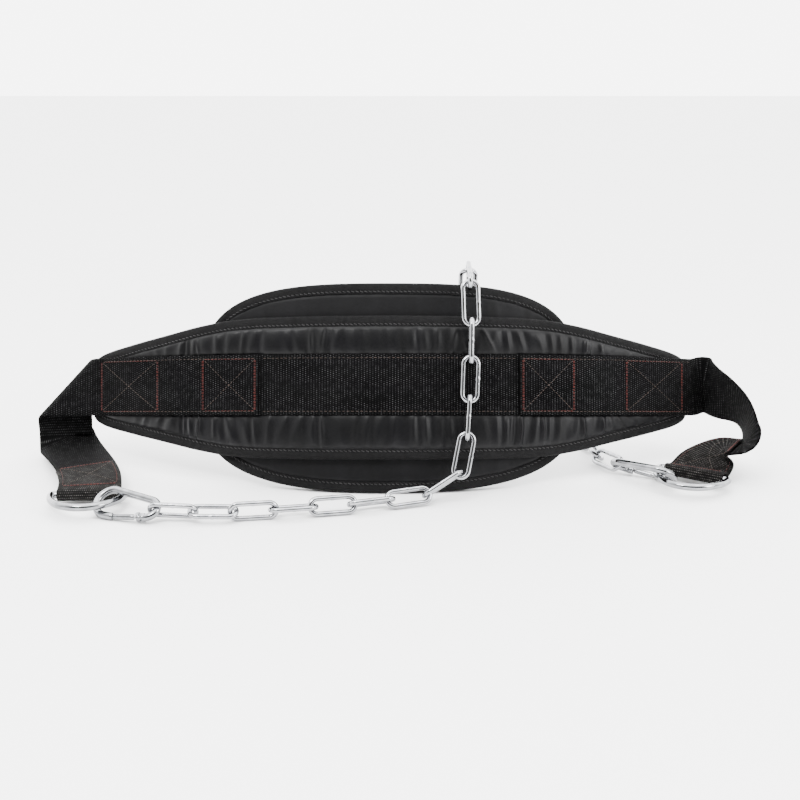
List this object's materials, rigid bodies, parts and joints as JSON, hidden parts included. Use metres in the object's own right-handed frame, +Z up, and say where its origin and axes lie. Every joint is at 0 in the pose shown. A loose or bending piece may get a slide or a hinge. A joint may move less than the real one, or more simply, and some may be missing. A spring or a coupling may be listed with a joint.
{
  "type": "dip belt",
  "caption": "Padded waist belt standing on its back pad, with webbing straps, D-rings, spring hooks and a weight chain laid out on the table.",
  "frame": {"origin": "middle of the whole part's box in plan, on the table plane that the back pad's lower edge stands on", "axes": "+Z up, the belt's front faces -Y, +X runs along the belt to the viewer's right"},
  "size_m": [0.6226, 0.22, 0.181],
  "materials": {
    "panel_cloth": "black nylon over foam, gathered along both edges",
    "pad_cloth": "black woven nylon over thin foam",
    "edge_tape": "black folded binding tape",
    "webbing": "black ribbed webbing",
    "bright_steel": "bright plated steel wire",
    "chain_steel": "bright zinc plated steel"
  },
  "bodies": {
    "belt": {"main_panel": "panel_cloth", "main_binding": "edge_tape", "back_pad": "pad_cloth", "back_binding": "edge_tape", "waist_band": "webbing", "left_strap": "webbing", "right_strap": "webbing", "left_d_ring": "bright_steel", "right_d_ring": "bright_steel", "left_hook": "bright_steel", "right_hook": "bright_steel", "link_01": "chain_steel", "link_02": "chain_steel", "link_03": "chain_steel", "link_04": "chain_steel", "link_05": "chain_steel", "link_06": "chain_steel", "link_07": "chain_steel", "link_08": "chain_steel", "link_09": "chain_steel", "link_10": "chain_steel", "link_11": "chain_steel", "link_12": "chain_steel", "link_13": "chain_steel", "link_14": "chain_steel", "link_15": "chain_steel", "link_16": "chain_steel", "link_17": "chain_steel", "link_18": "chain_steel", "link_19": "chain_steel", "link_20": "chain_steel", "link_21": "chain_steel", "link_22": "chain_steel", "link_23": "chain_steel", "link_24": "chain_steel", "link_25": "chain_steel", "link_26": "chain_steel"},
    "left_gate": {"left_gate": "bright_steel"},
    "right_gate": {"right_gate": "bright_steel"}
  },
  "joints": [
    {"name": "left_gate_hinge", "type": "hinge", "parent": "belt", "child": "left_gate", "pos_m": [-0.19038, -0.10442, 0.005], "axis": [0.2202, 0.545, -0.809], "range_deg": [0, 24], "stiffness_Nm_per_rad": 0.02},
    {"name": "right_gate_hinge", "type": "hinge", "parent": "belt", "child": "right_gate", "pos_m": [0.20829, 0.00148, 0.005], "axis": [-0.3455, -0.4755, -0.809], "range_deg": [0, 24], "stiffness_Nm_per_rad": 0.02}
  ]
}
